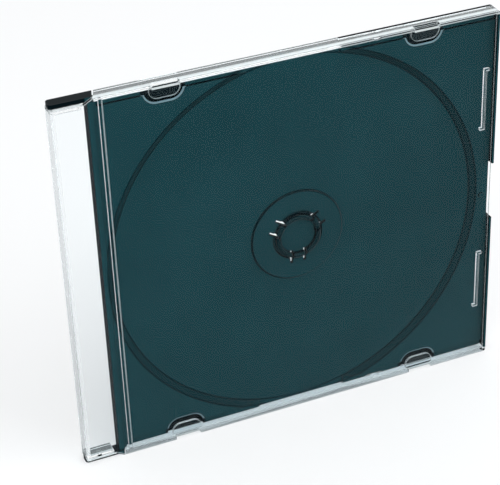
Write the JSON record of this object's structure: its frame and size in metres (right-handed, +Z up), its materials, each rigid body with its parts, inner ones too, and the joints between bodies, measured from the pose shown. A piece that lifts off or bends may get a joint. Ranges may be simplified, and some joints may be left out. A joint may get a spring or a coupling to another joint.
{
  "type": "slim cd jewel case",
  "caption": "Slim closed case for one 120 mm disc: clear lid with spine hinged on a black tray with a round recess and a hub that clips the disc.",
  "frame": {"origin": "middle of the bottom long edge, the edge that the closed case stands on", "axes": "+X from the spine to the opening edge, +Y from the clear lid to the black back, +Z up along the spine"},
  "size_m": [0.142, 0.0052, 0.125],
  "materials": {
    "black_polystyrene": "black injection-moulded polystyrene, satin inside, glossy outside",
    "clear_polystyrene": "clear injection-moulded crystal polystyrene, polished"
  },
  "bodies": {
    "tray": {"tray": "black_polystyrene"},
    "lid": {"lid": "clear_polystyrene"}
  },
  "joints": [
    {"name": "lid_hinge", "type": "hinge", "parent": "tray", "child": "lid", "pos_m": [-0.0664, 0, 0.0625], "axis": [0, 0, -1], "range_deg": [0, 180]}
  ]
}
